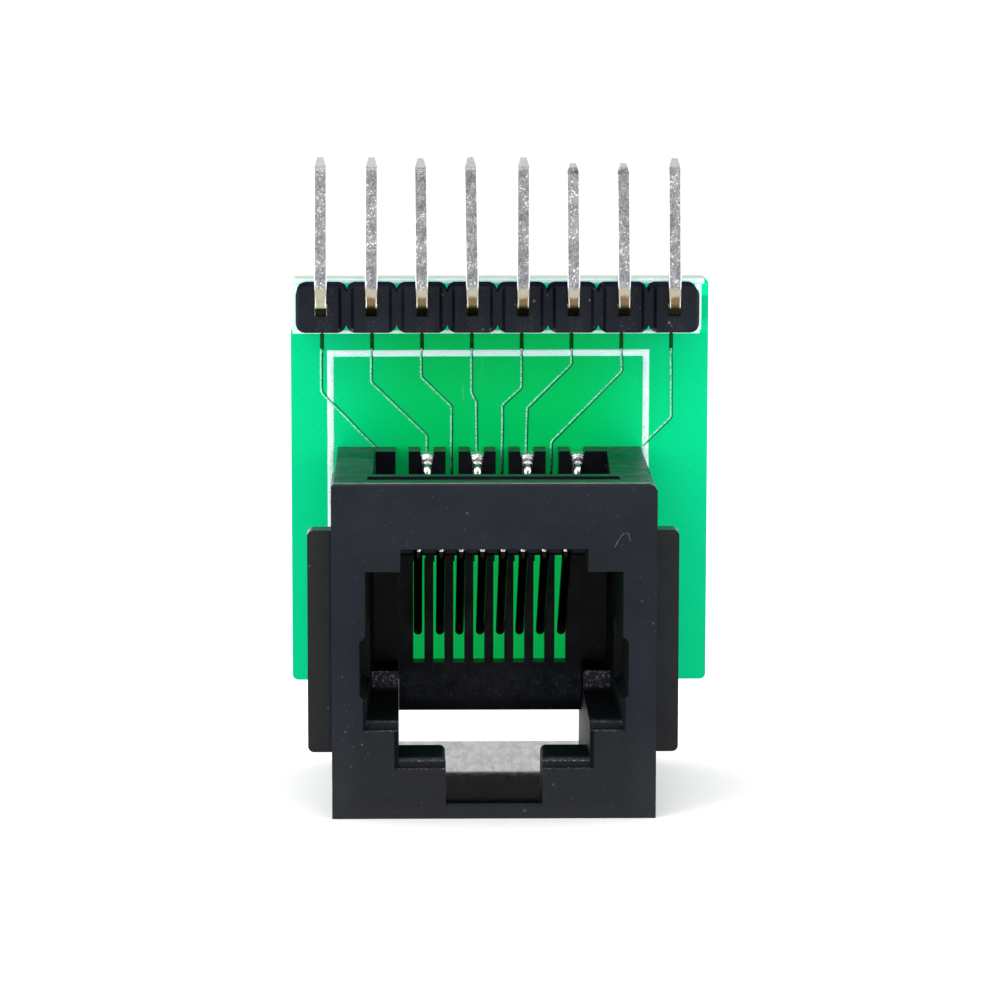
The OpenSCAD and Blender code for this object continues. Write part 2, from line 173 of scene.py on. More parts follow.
# ---------------------------------------------------------------- materials
def plastic(name, dark, light, face_rough, side_rough, top_rough, grain=2600, grain_h=0.000010, speck=0.2, spec=0.25,
            dust_and_light=None, painted_shade=None, polish_and_reflection=None, pale_and_highlight=None, gloss=None, painted_highlight=None,
            dust_and_light_lo=(0.018, 0.020, 0.030), dust_and_light_hi=(0.26, 0.27, 0.31)):
    """Moulded black plastic: spark-textured faces towards the front and back, smoother sides and tops,
    a cloudy tone, fine specks of dust. The mask functions mark dust with painted light, painted shade,
    polish with a painted reflection tint, paler faces with painted highlights, and painted highlights."""
    m = Mat(name)
    pos = m.xyz()
    nor = m.xyz(m.nrm)
    face = m.rng(m.math("ABSOLUTE", nor[1]), 0.75, 0.93)
    topm = m.rng(nor[2], 0.70, 0.92)
    cloud = m.noise(260, 4, 0.6)
    fine = m.noise(grain, 2, 0.6)
    base = m.mix(m.rng(cloud, 0.3, 0.72), dark, light)
    # paler faces, with painted light and a painted highlight among them
    if pale_and_highlight:
        base = m.mix(pale_and_highlight(m, pos, nor), base, (0.0175, 0.0180, 0.0195))
    # painted shade: darker colour inside, with duller roughness
    shade_and_dull = painted_shade(m, pos, nor) if painted_shade else None
    if shade_and_dull:
        base = m.mix(shade_and_dull, base, tuple(c * 0.30 for c in dark))
    spots = m.voronoi(1700)
    many = m.noise(420, 2, 0.5)
    dots = m.math("MULTIPLY", m.rng(spots, 0.15, 0.07), m.rng(many, 0.54, 0.68))
    grit = m.math("MULTIPLY", m.rng(m.noise(7500, 2, 0.5), 0.68, 0.82), 0.8)
    dots = m.math("MULTIPLY", m.math("MAXIMUM", dots, grit), speck)
    col = m.mix(dots, base, (0.42, 0.43, 0.46))
    # dust, and painted light, sheen and glints, in the same colours
    if dust_and_light:
        mask = dust_and_light(m, pos, nor)
        dust_and_light_col = m.mix(m.rng(m.noise(8500, 3, 0.7), 0.50, 0.70), dust_and_light_lo, dust_and_light_hi)
        col = m.mix(mask, col, dust_and_light_col)
    # painted highlight
    if painted_highlight:
        k = m.math("MULTIPLY", painted_highlight(m, pos, nor), m.rng(m.noise(1900, 4, 0.7), 0.34, 0.60, 0.25, 1.0))
        col = m.mix(k, col, (0.25, 0.30, 0.28))
    cl = m.noise(900, 3, 0.6)
    r = m.rng(cl, 0.3, 0.7, *side_rough)
    for mask, rr in ((face, face_rough), (topm, top_rough)):
        keep_r = m.math("MULTIPLY", r, m.math("SUBTRACT", 1.0, mask))
        r = m.math("ADD", keep_r, m.math("MULTIPLY", m.rng(cl, 0.3, 0.7, *rr), mask))
    hills = m.math("ADD", fine, m.math("MULTIPLY", m.voronoi(grain * 0.7), 0.5))
    hills = m.math("MULTIPLY", hills, m.math("ADD", m.math("MULTIPLY", face, 0.92), 0.08))
    h = m.math("ADD", hills, m.math("MULTIPLY", m.noise(330, 2, 0.5), 0.7))
    if shade_and_dull:
        r = m.math("ADD", m.math("MULTIPLY", r, m.math("SUBTRACT", 1.0, shade_and_dull)), m.math("MULTIPLY", shade_and_dull, 0.55))
    # polish: a smooth coat, and a painted dark teal reflection tint in the colour
    if polish_and_reflection:
        k = polish_and_reflection(m, pos, nor)
        mott = m.rng(m.noise(1.0, 4, 0.65, co=m.stretch(2600, 700, 2600)), 0.3, 0.7, 0.40, 0.95)
        m.set(coat=m.math("MULTIPLY", m.math("MULTIPLY", k, mott), m.rng(pos[1], -0.0016, -0.0010)), coat_rough=0.04)
        col = m.mix(k, col, (0.0006, 0.0022, 0.0015))
        calm = m.math("SUBTRACT", 1.0, k)
        r = m.math("ADD", m.math("MULTIPLY", r, calm), m.math("MULTIPLY", m.rng(m.noise(2600, 3, 0.6), 0.3, 0.7, 0.03, 0.09), k))
        h = m.math("MULTIPLY", h, m.math("ADD", m.math("MULTIPLY", calm, 0.75), 0.25))
    if gloss is not None:
        m.set(coat=m.math("MULTIPLY", m.rng(nor[2], 0.45, 0.10), gloss), coat_rough=0.32)
    return m.set(color=col, rough=r, spec=spec, normal=m.bump(h, 0.5, grain_h))


def box_mask(m, pos, lo, hi, soft=0.0002):
    """1 inside a box of mm corners, falling to 0 over a short distance outside it."""
    out = None
    for s, a, b in zip(pos, lo, hi):
        for w in ((a, 1), (b, -1)):
            if w[0] is None:
                continue
            e = w[0] * MM
            k = m.rng(s, e - soft * w[1], e, smooth=False)
            out = k if out is None else m.math("MULTIPLY", out, k)
    return out


def jack_painted_shade(m, pos, nor):
    # painted shade: the colour is darker inside the mouth, and the moulding duller there
    deep_painted_shade = box_mask(m, pos, (JX - 6.4, YF + 0.5, 0.9), (JX + 6.4, None, 12.6), 0.0008)
    return deep_painted_shade


def jack_pale_and_highlight(m, pos, nor):
    # paler places: painted light from the floor on the foot of the front face, paler panel stops, and a painted
    # highlight on the collar's top front arris
    foot = m.math("MULTIPLY", m.rng(pos[2], 0.0060, 0.0005), m.rng(m.math("MULTIPLY", nor[1], -1.0), 0.7, 0.9))
    side = m.rng(m.math("ABSOLUTE", m.math("SUBTRACT", pos[0], JX * MM)), 0.00795, 0.00805)
    arris_painted_highlight = box_mask(m, pos, (None, None, 16.32), (None, YF + 0.10, None), 0.00003)
    return m.math("MAXIMUM", m.math("MULTIPLY", foot, 0.75), m.math("MAXIMUM", m.math("MULTIPLY", side, 0.8), m.math("MULTIPLY", arris_painted_highlight, 2.5)))


def jack_dust_and_highlight(m, pos, nor):
    # painted light and dust: painted light on the front faces of the plug stops, dusty ledges at the mouth with
    # painted light on them, a painted highlight along the collar's front edge and a mottled painted sheen on the left
    # corner block's top
    up = m.rng(nor[2], 0.5, 0.8)
    ledge = m.math("MULTIPLY", box_mask(m, pos, (JX - 6.3, YF - 0.1, 1.6), (JX + 6.3, YF + 0.7, 5.1), 0.0005), up)
    fr = m.rng(m.math("MULTIPLY", nor[1], -1.0), 0.6, 0.9)
    stop = m.math("MULTIPLY", box_mask(m, pos, (JX - 6.3, YF + 7.4, 4.95), (JX + 6.3, YF + 10.2, 5.97), 0.00015), fr)
    rim = box_mask(m, pos, (None, YF - 0.1, 16.25), (None, YF + 0.1, None), 0.0005)
    left = box_mask(m, pos, (-6.7, -1.6, 16.0), (-6.5, 0.4, None), 0.0020)
    rub = m.math("MULTIPLY", m.math("MAXIMUM", m.math("MULTIPLY", rim, 0.45), m.math("MULTIPLY", m.math("MULTIPLY", left, m.rng(m.noise(520, 4, 0.6), 0.40, 0.66)), 0.40)), up)
    return m.math("MULTIPLY", m.math("MAXIMUM", m.math("MAXIMUM", ledge, stop), rub), 0.85)


def top_painted_highlight(m, pos, nor):
    # painted highlight on the collar's front edge and on the ends of the posts at the board
    rim = box_mask(m, pos, (None, YF - 0.1, 16.2), (None, YF + 0.08, None), 0.00045)
    ends = box_mask(m, pos, (None, 3.9, 15.3), (None, None, None), 0.0009)
    up = m.rng(nor[2], 0.3, 0.7)
    return m.math("MULTIPLY", m.math("MAXIMUM", m.math("MULTIPLY", rim, 0.60), m.math("MULTIPLY", ends, 0.12)), up)


def jack_polish_and_reflection(m, pos, nor):
    # the latch floor is mirror-smooth, and its colour carries a painted dark teal reflection of the board
    floor_k = box_mask(m, pos, (JX - 4.8, YF - 0.1, None), (JX + 4.8, None, 1.35), 0.0001)
    return m.math("MULTIPLY", floor_k, m.rng(nor[2], 0.7, 0.9))


mat_jack = plastic("jack_black", (0.0024, 0.0050, 0.0106), (0.0062, 0.0092, 0.0160), (0.50, 0.64), (0.16, 0.28),
                   (0.30, 0.42), speck=0.13, spec=0.20, dust_and_light=jack_dust_and_highlight, painted_shade=jack_painted_shade, polish_and_reflection=jack_polish_and_reflection, pale_and_highlight=jack_pale_and_highlight, painted_highlight=top_painted_highlight,
                   dust_and_light_lo=(0.024, 0.026, 0.034), dust_and_light_hi=(0.36, 0.37, 0.40))


def insert_painted_light(m, pos, nor):
    # painted light on the foot of the comb, where light through the mouth falls: navy, with fine specks
    fr = m.rng(m.math("MULTIPLY", nor[1], -1.0), 0.6, 0.9)
    g = m.math("MULTIPLY", m.rng(pos[2], 0.0058, 0.0046), m.math("MULTIPLY", m.rng(pos[2], 0.0034, 0.0040), m.rng(m.noise(1500, 3, 0.6), 0.25, 0.60)))
    return m.math("MULTIPLY", m.math("MULTIPLY", g, fr), 0.80)


mat_insert = plastic("insert_black", (0.0016, 0.0024, 0.0048), (0.0034, 0.0046, 0.0080), (0.40, 0.52), (0.16, 0.28),
                     (0.30, 0.42), speck=0.06, spec=0.14, dust_and_light=insert_painted_light, painted_highlight=top_painted_highlight, dust_and_light_lo=(0.018, 0.026, 0.046),
                     dust_and_light_hi=(0.085, 0.098, 0.135))


def header_painted_sheen(m, pos, nor):
    # painted sheen down one side of each lobe, and painted glints at the lobes' lower corners
    ph = m.math("MULTIPLY", m.math("SUBTRACT", pos[0], (HX + 1.27) * MM), 2 * math.pi / 0.00254)
    wave = m.math("SINE", m.math("ADD", ph, 1.1))
    fr = m.rng(m.math("MULTIPLY", nor[1], -1.0), 0.6, 0.9)
    lobe = m.math("COSINE", m.math("ADD", ph, 0.0))
    corner = m.math("MULTIPLY", m.rng(lobe, -0.45, -0.62), m.rng(lobe, -0.97, -0.86))
    corner = m.math("MULTIPLY", corner, m.rng(pos[2], 0.02278, 0.02256))
    corner = m.math("MULTIPLY", corner, m.rng(m.noise(2400, 2, 0.5), 0.50, 0.60))
    return m.math("MAXIMUM", m.math("MULTIPLY", m.math("MULTIPLY", m.rng(wave, 0.1, 0.95), fr), 0.12), m.math("MULTIPLY", corner, 0.95))


mat_header = plastic("header_black", (0.0030, 0.0046, 0.0100), (0.0085, 0.0115, 0.0190), (0.24, 0.34), (0.14, 0.24),
                     (0.96, 1.0), speck=0.30, spec=0.0, grain_h=0.000006, dust_and_light=header_painted_sheen, gloss=0.30)


def glass_green(name, mid, rim, spec=0.03):
    """Green solder mask over woven glass laminate. Painted light makes it paler towards the board's cut edges,
    standing in for light that comes through it; the cut edges themselves are bare and pale."""
    m = Mat(name)
    x, y, z = m.xyz()
    cloud = m.noise(95, 3, 0.5)
    wob = m.math("MULTIPLY", m.math("SUBTRACT", m.noise(60, 2, 0.5), 0.5), 0.004)
    near = m.rng(m.math("ADD", m.math("ABSOLUTE", x), wob), 0.0035, 0.0104)
    low = m.math("MULTIPLY", m.rng(z, 0.0235, 0.0120), m.rng(m.math("ABSOLUTE", x), 0.006, 0.0095))
    rim_painted_light = m.math("MAXIMUM", near, m.math("MULTIPLY", low, 0.9))
    col = m.mix(rim_painted_light, mid, rim)
    col = m.mix(m.rng(cloud, 0.25, 0.75, 0.0, 0.22), col, tuple(c * 0.80 for c in mid))
    # weave of the glass cloth, faintly seen through the mask
    wx = m.math("SINE", m.math("MULTIPLY", x, 2 * math.pi / 0.00052))
    wz = m.math("SINE", m.math("MULTIPLY", z, 2 * math.pi / 0.00046))
    weave = m.math("MULTIPLY", wx, wz)
    col = m.mix(m.rng(weave, -1, 1, 0.0, 0.07), col, tuple(c * 0.6 for c in mid))
    # hairline scratches that show the paler resin
    s1 = m.noise(1.0, 2, 0.5, dist=0.3, co=m.stretch(2400, 300, 210))
    s2 = m.noise(1.0, 2, 0.5, dist=0.3, co=m.stretch(190, 300, 2600))
    patch = m.rng(m.noise(170, 2, 0.5), 0.58, 0.68)
    scr = m.math("MULTIPLY", m.math("MAXIMUM", m.rng(s1, 0.70, 0.76), m.rng(s2, 0.71, 0.77)), patch)
    col = m.mix(m.math("MULTIPLY", scr, 0.35), col, (0.10, 0.62, 0.42))
    # bare laminate on the cut edges, with its cloth layers
    ny = m.xyz(m.nrm)[1]
    edge = m.rng(m.math("ABSOLUTE", ny), 0.9, 0.6)
    layers = m.math("SINE", m.math("MULTIPLY", y, 2 * math.pi / 0.00020))
    fibre = m.noise(1.0, 4, 0.7, co=m.stretch(900, 9000, 900))
    lam = m.mix(m.rng(fibre, 0.3, 0.7), (0.33, 0.35, 0.32), (0.44, 0.45, 0.42))
    lam = m.mix(m.rng(layers, -0.4, 1.0, 0.0, 0.30), lam, (0.34, 0.42, 0.24))
    rear = m.rng(ny, 0.3, 0.7)
    col = m.mix(rear, col, m.mix(m.rng(cloud, 0.25, 0.75), (0.0010, 0.150, 0.046), (0.0014, 0.180, 0.056)))
    col = m.mix(edge, col, lam)
    r = m.rng(m.noise(500, 3, 0.6), 0.3, 0.7, 0.20, 0.34)
    r = m.math("ADD", r, m.math("MULTIPLY", edge, 0.35))
    h = m.math("ADD", m.math("MULTIPLY", weave, 0.5), m.noise(240, 2, 0.5))
    # painted glow: emission stands in for daylight coming through the laminate behind the contact comb, with a
    # fainter painted glow elsewhere on the front face
    comb_painted_glow = box_mask(m, (x, y, z), (JX - 4.30, None, 5.0), (JX + 4.10, YB + 0.05, 11.6), 0.0002)
    painted_glow_base = m.mix(rim_painted_light, (0.0, 0.115, 0.024), (0.0, 0.085, 0.050))
    painted_glow_base = m.mix(m.math("MAXIMUM", edge, rear), painted_glow_base, (0.0, 0.0, 0.0))
    lit = m.mix(comb_painted_glow, painted_glow_base, (0.002, 0.35, 0.062))
    # painted glow in the notches between the header's lobes and, fainter, along the header's bottom edge
    notch_painted_glow = m.math("MAXIMUM", box_mask(m, (x, y, z), (None, None, 24.1), (None, YB + 0.05, 24.66), 0.0001),
                   m.math("MULTIPLY", box_mask(m, (x, y, z), (None, None, 22.2), (None, YB + 0.05, 22.8), 0.0001), 0.45))
    lit = m.mix(notch_painted_glow, lit, (0.0, 0.33, 0.17))
    return m.set(color=col, rough=r, normal=m.bump(h, 0.35, 0.000006), spec=spec, emit=lit, emit_k=1.0)


# the rim colour is painted light towards the board's cut edges
GREEN_MID = (0.0004, 0.53, 0.116)
GREEN_RIM = (0.0006, 0.66, 0.265)
mat_board = glass_green("board_mask", GREEN_MID, GREEN_RIM)


def track_green():
    """Copper track under the mask: a ridge with a painted highlight and painted glints along its upper left side and
    painted shade along its right side.
    """
    m = Mat("track_green")
    nx, ny, nz = m.xyz(m.nrm)
    n = m.noise(700, 3, 0.6)
    # painted light and shade on the ridge, by the direction of its faces
    lit = m.rng(m.math("SUBTRACT", m.math("MULTIPLY", nz, 0.5), nx), -0.14, 0.10)
    col = m.mix(m.rng(lit, 0.0, 0.5, smooth=False), (0.0004, 0.120, 0.042), (0.004, 0.50, 0.18))
    track_painted_glint = m.mix(m.rng(m.noise(9000, 3, 0.6), 0.38, 0.60), (0.02, 0.70, 0.34), (0.50, 1.0, 0.78))
    col = m.mix(m.rng(lit, 0.5, 1.0, smooth=False), col, track_painted_glint)
    col = m.mix(m.rng(n, 0.45, 0.75, 0.0, 0.25), col, (0.02, 0.50, 0.20))
    r = m.rng(n, 0.3, 0.7, 0.18, 0.32)
    return m.set(color=col, rough=r, spec=0.2, normal=m.bump(n, 0.4, 0.000006))


def stub_green():
    """Deep green strip from the header down to the top of each track."""
    m = Mat("stub_green")
    n = m.noise(800, 3, 0.6)
    col = m.mix(m.rng(n, 0.3, 0.7), (0.0005, 0.060, 0.004), (0.0008, 0.082, 0.007))
    r = m.rng(n, 0.3, 0.7, 0.22, 0.34)
    return m.set(color=col, rough=r, spec=0.10, normal=m.bump(n, 0.4, 0.000004))


def silk_white():
    """Screen-printed ink: matt, minty where thin, with a broken grainy edge; the lines near the header carry a
    painted glow.
    """
    m = Mat("silk_white")
    # painted glow: emission lifts the shade on the lines near the header, and faintly on the rest
    high_painted_glow = m.rng(m.xyz()[2], 0.0202, 0.0210)
    n = m.noise(900, 4, 0.65)
    f = m.noise(3800, 3, 0.6)
    col = m.mix(m.rng(n, 0.3, 0.7), (0.76, 0.94, 0.92), (0.90, 0.98, 0.97))
    col = m.mix(m.rng(m.noise(11000, 2, 0.6), 0.52, 0.66, 0.0, 0.7), col, (0.34, 0.70, 0.60))
    r = m.rng(f, 0.3, 0.7, 0.50, 0.72)
    return m.set(color=col, rough=r, spec=0.2, normal=m.bump(m.math("ADD", n, f), 0.5, 0.000008),
                 emit=m.mix(high_painted_glow, (0.0, 0.05, 0.05), (0.09, 0.20, 0.21)), emit_k=1.0)


def metal(name, lo, hi, rough=(0.2, 0.38), streak=(900, 900, 120), fine=2600, h=0.000006):
    m = Mat(name)
    n1 = m.noise(1.0, 4, 0.65, co=m.stretch(*streak))
    n2 = m.noise(fine, 3, 0.7)
    col = m.mix(m.rng(m.math("ADD", m.math("MULTIPLY", n1, 0.6), m.math("MULTIPLY", n2, 0.4)), 0.3, 0.68), lo, hi)
    r = m.rng(n2, 0.3, 0.7, *rough)
    return m.set(color=col, metal=1.0, rough=r, normal=m.bump(m.math("ADD", n1, n2), 0.35, h))


def contact_gold():
    """Thin gold over nickel on the free run of each contact, with painted shade darkening the legs below the bend
    and a painted highlight on the bend; its tail in the board is tinned."""
    m = Mat("contact_gold")
    x, y, z = m.xyz()
    n1 = m.noise(1.0, 4, 0.65, co=m.stretch(2600, 260, 260))
    n2 = m.noise(3200, 3, 0.7)
    gold = m.mix(m.rng(n1, 0.3, 0.7), (0.34, 0.25, 0.11), (0.62, 0.48, 0.24))
    # painted shade: the legs below the bend are darkened
    gold = m.mix(m.rng(z, 0.01262, 0.01252), gold, m.mix(n1, (0.003, 0.003, 0.002), (0.010, 0.009, 0.007)))
    # painted highlight: a pale spot at the front of the bend
    bend_painted_highlight = box_mask(m, (x, y, z), (None, None, 12.50), (None, YF + 4.45, 12.62), 0.00003)
    gold = m.mix(bend_painted_highlight, gold, (0.52, 0.53, 0.50))
    tin = m.mix(m.rng(n2, 0.3, 0.7), (0.46, 0.46, 0.46), (0.80, 0.80, 0.80))
    wob = m.math("MULTIPLY", m.math("SUBTRACT", m.noise(700, 3, 0.6), 0.5), 0.0008)
    col = m.mix(m.rng(m.math("ADD", y, wob), 0.0012, 0.0020), gold, tin)
    r = m.rng(n2, 0.3, 0.7, 0.09, 0.20)
    return m.set(color=col, metal=1.0, rough=r, normal=m.bump(m.math("ADD", n1, n2), 0.25, 0.000003))


mat_gold = contact_gold()


def solder():
    """Solder: bright, lumpy, with grey frosted patches and beads of flux."""
    m = Mat("solder")
    n1 = m.noise(1300, 4, 0.6)
    n2 = m.noise(5200, 3, 0.65)
    v = m.voronoi(2100)
    col = m.mix(m.rng(n1, 0.35, 0.62), (0.50, 0.50, 0.52), (0.93, 0.93, 0.94))
    col = m.mix(m.rng(n2, 0.66, 0.80, 0.0, 0.6), col, (0.30, 0.30, 0.32))
    r = m.rng(n2, 0.3, 0.7, 0.20, 0.46)
    h = m.math("ADD", m.math("MULTIPLY", n1, 1.2), m.math("ADD", m.math("MULTIPLY", n2, 0.3), v))
    return m.set(color=col, metal=1.0, rough=r, normal=m.bump(h, 0.5, 0.000030))


mat_solder = solder()


PIN_LEAN = [0.2, 0.3, -0.5, -0.9, 0.0, -0.6, -0.8, -0.6]


def pin_tin(n):
    """Tin plating: grey along the shank with painted glints in its grain, painted highlights along the arrises and
    the tapered tip, a painted reflection at the bend, cream and then brassy, and painted shade, olive and dark, where
    the pin leaves the block."""
    m = Mat("pin_tin_%d" % n)
    x, y, z = m.xyz()
    nx, ny, nz = m.xyz(m.nrm)
    n1 = m.noise(1.0, 4, 0.7, co=m.stretch(11000, 11000, 6500))
    n2 = m.noise(15000, 3, 0.7)
    # painted glints in the tin's grain
    glint_painted = m.xyz(m.voronoi(15000, out="Color"))[0]
    patch = m.noise(1500, 2, 0.5)
    mixv = m.math("ADD", m.math("MULTIPLY", n1, 0.45), m.math("ADD", m.math("MULTIPLY", n2, 0.35), m.math("MULTIPLY", patch, 0.2)))
    grey = m.mix(m.rng(mixv, 0.38, 0.60), (0.145, 0.145, 0.155), (0.42, 0.42, 0.435))
    grey = m.mix(m.math("MULTIPLY", m.rng(glint_painted, 0.84, 0.92), m.rng(patch, 0.35, 0.60)), grey, (0.90, 0.90, 0.92))
    # distance from the pin's leaning centre line
    lean = math.tan(math.radians(PIN_LEAN[n - 1]))
    axis = m.math("ADD", m.math("MULTIPLY", m.math("SUBTRACT", z, 0.02401), lean), (HX + (n - 4.5) * 2.54) * MM)
    off = m.math("ABSOLUTE", m.math("SUBTRACT", x, axis))
    # painted highlight along the arrises and on the tapered tip
    half = m.rng(z, 0.0240, 0.0252, 0.00027, 0.00032, smooth=False)
    tip = m.rng(z, 0.0306, 0.0309)
    inset = m.math("SUBTRACT", half, off)
    arris_painted_highlight = m.math("MULTIPLY", m.rng(inset, 0.000062, 0.000040), m.rng(inset, -0.000030, -0.000012))
    arris_painted_highlight = m.math("MULTIPLY", arris_painted_highlight, m.rng(m.math("ABSOLUTE", ny), 0.20, 0.45))
    arris_painted_highlight = m.math("MAXIMUM", arris_painted_highlight, m.math("MULTIPLY", tip, 0.85))
    arris_painted_highlight = m.math("MULTIPLY", arris_painted_highlight, m.rng(z, 0.0236, 0.0238))
    tin = m.mix(arris_painted_highlight, grey, (0.97, 0.97, 0.96))
    wob = m.math("MULTIPLY", m.math("SUBTRACT", m.noise(900, 3, 0.6), 0.5), 0.0005)
    zz = m.math("ADD", z, wob)
    fore = m.rng(y, 0.0045, 0.0040)
    # painted reflection at the bend: cream, then brassy
    cream_painted_reflection = m.math("MULTIPLY", m.rng(zz, 0.02484, 0.02458), fore)
    brass_painted_reflection = m.math("MULTIPLY", m.rng(zz, 0.02440, 0.02418), fore)
    col = m.mix(cream_painted_reflection, tin, m.mix(n1, (0.36, 0.33, 0.24), (0.58, 0.54, 0.43)))
    # painted shade where the pin leaves the block: olive and dark, with painted highlights on its arrises
    if n == 1:
        deep_painted_shade = m.mix(n1, (0.30, 0.29, 0.20), (0.52, 0.50, 0.38))
    else:
        deep_painted_shade = m.mix(n1, (0.13, 0.085, 0.038), (0.27, 0.19, 0.10))
        deep_painted_shade = m.mix(m.rng(z, 0.02405, 0.02372), deep_painted_shade, (0.050, 0.048, 0.012))
    low = m.mix(m.math("MULTIPLY", arris_painted_highlight, 0.9 if n < 3 else 0.7), deep_painted_shade, (0.93, 0.92, 0.86))
    col = m.mix(brass_painted_reflection, col, low)
    # painted shade in the pocket under the pin
    sunk_painted_shade = m.math("MULTIPLY", m.rng(z, 0.02378, 0.02370), m.rng(y, 0.00300, 0.00292))
    col = m.mix(sunk_painted_shade, col, (0.020, 0.019, 0.010))
    r = m.rng(n2, 0.3, 0.7, 0.26, 0.42)
    return m.set(color=col, metal=1.0, rough=r, normal=m.bump(m.math("ADD", n1, n2), 0.40, 0.000004))


mat_pins = [pin_tin(n) for n in range(1, 9)]
mat_track = track_green()
mat_stub = stub_green()
mat_silk = silk_white()

slots = {"board_mask": mat_board, "jack_black": mat_jack, "insert_black": mat_insert, "contact_gold": mat_gold,
         "header_black": mat_header, "solder": mat_solder}
which = {s["node"]: s["material_slot"] for s in frame["record"]["subparts"]}
for name, ob in nodes.items():
    ob.data.materials.clear()
    ob.data.materials.append(mat_pins[int(name[-1]) - 1] if which[name] == "pin_tin" else slots[which[name]])


# ---------------------------------------------------------------- edge softening
def soften(name, width, segments=2, angle=28):
    ob = nodes[name]
    d = ob.modifiers.new("planar", "DECIMATE")
    d.decimate_type = "DISSOLVE"
    d.angle_limit = math.radians(1.0)
    b = ob.modifiers.new("bevel", "BEVEL")
    b.width = width * MM
    b.segments = segments
    b.limit_method = "ANGLE"
    b.angle_limit = math.radians(angle)
    b.harden_normals = True
    b.use_clamp_overlap = True
    for p in ob.data.polygons:
        p.use_smooth = True


for i in range(1, 9):
    soften("header_pin_%d" % i, 0.055, 2, 30)
soften("header_block", 0.10, 3, 30)
soften("jack_housing", 0.06, 2, 30)
soften("pcb", 0.03, 1, 40)


# ---------------------------------------------------------------- pieces on the board's face
def keep(ob, mat):
    ob.data.materials.clear()
    ob.data.materials.append(mat)
    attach(ob, "root")
    return ob


def new_mesh(name, bm):
    me = bpy.data.meshes.new(name)
    bmesh.ops.recalc_face_normals(bm, faces=bm.faces)
    bm.to_mesh(me)
    bm.free()
    ob = bpy.data.objects.new(name, me)
    bpy.context.collection.objects.link(ob)
    return ob


def offset_line(pts, off):
    """Points moved sideways by off, mitred at the corners."""
    out = []
    n = len(pts)
    for i, p in enumerate(pts):
        d0 = (pts[i] - pts[i - 1]).normalized() if i > 0 else None
        d1 = (pts[i + 1] - pts[i]).normalized() if i < n - 1 else None
        if d0 is None:
            nn = Vector((-d1.y, d1.x))
            out.append(p + nn * off)
        elif d1 is None:
            nn = Vector((-d0.y, d0.x))
            out.append(p + nn * off)
        else:
            a = Vector((-d0.y, d0.x))
            b = Vector((-d1.y, d1.x))
            mid = (a + b).normalized()
            out.append(p + mid * (off / max(0.35, mid.dot(a))))
    return out


def smooth_path(pts, radius, steps=4):
    """Rounds each inner corner of a path of (x, z) points."""
    pts = [Vector(p) for p in pts]
    out = [pts[0]]
    for i in range(1, len(pts) - 1):
        a, b, c = pts[i - 1], pts[i], pts[i + 1]
        r = min(radius, (a - b).length * 0.45, (c - b).length * 0.45)
        p0 = b + (a - b).normalized() * r
        p1 = b + (c - b).normalized() * r
        for k in range(steps + 1):
            t = k / steps
            out.append(p0 * (1 - t) ** 2 + b * 2 * t * (1 - t) + p1 * t ** 2)
    out.append(pts[-1])
    return out


def resample(pts, step):
    out = [pts[0]]
    for a, b in zip(pts, pts[1:]):
        n = max(1, int((b - a).length / step))
        for k in range(1, n + 1):
            out.append(a.lerp(b, k / n))
    return out


def strip(name, path, width, height, mat, ridge=0.5, wobble=0.0, seed=1, face=YB):
    """A raised band on the board's front face along a path of (x, z) points in mm: sunk edges, domed top."""
    rnd = random.Random(seed)
    pts = resample([Vector(p) for p in path], 0.25) if wobble else [Vector(p) for p in path]
    if wobble:
        acc = 0.0
        mv = []
        for p in pts:
            acc = acc * 0.7 + rnd.uniform(-1, 1) * wobble
            mv.append(p + Vector((acc, acc * 0.4)))
        pts = [p for p in mv]
    prof = [(-0.5, 0.0), (-0.5 + 0.25 * ridge, 0.7), (-0.18, 1.0), (0.18, 1.0), (0.5 - 0.25 * ridge, 0.7), (0.5, 0.0)]
    bm = bmesh.new()
    rails = []
    for off, up in prof:
        line = offset_line(pts, off * width)
        rails.append([bm.verts.new((p.x * MM, (face - up * height + (0.004 if up == 0 else 0)) * MM, p.y * MM))
                      for p in line])
    for ra, rb in zip(rails, rails[1:]):
        for i in range(len(pts) - 1):
            bm.faces.new((ra[i], ra[i + 1], rb[i + 1], rb[i]))
    for i in range(len(pts) - 1):
        bm.faces.new((rails[-1][i], rails[-1][i + 1], rails[0][i + 1], rails[0][i]))
    bm.faces.new([r[0] for r in rails])
    bm.faces.new([r[-1] for r in reversed(rails)])
    ob = new_mesh(name, bm)
    for p in ob.data.polygons:
        p.use_smooth = len(p.vertices) == 4
    return keep(ob, mat)


TRACKS = [
    [(-9.06, 21.35), (-9.07, 19.12), (-6.16, 16.11), (-5.56, 15.53)],
    [(-6.51, 21.35), (-6.52, 19.63), (-3.70, 16.90), (-3.70, 15.55)],
    [(-3.97, 21.35), (-3.98, 19.89), (-2.44, 18.40), (-2.44, 14.85)],
    [(-1.42, 21.35), (-1.42, 19.06), (-1.17, 18.60), (-1.15, 15.55)],
    [(1.12, 21.35), (1.13, 19.32), (0.17, 18.44), (0.13, 14.85)],
    [(3.67, 21.35), (3.68, 20.54), (1.43, 18.29), (1.37, 15.55)],
    [(6.21, 21.35), (6.24, 20.16), (2.66, 16.53), (2.64, 14.85)],
    [(8.75, 21.35), (8.79, 17.81), (7.70, 16.73), (7.34, 16.32)],
]
for i, t in enumerate(TRACKS):
    strip("track_%d" % (i + 1), smooth_path(t, 0.12), 0.165, 0.030, mat_track, wobble=0.006, seed=30 + i)
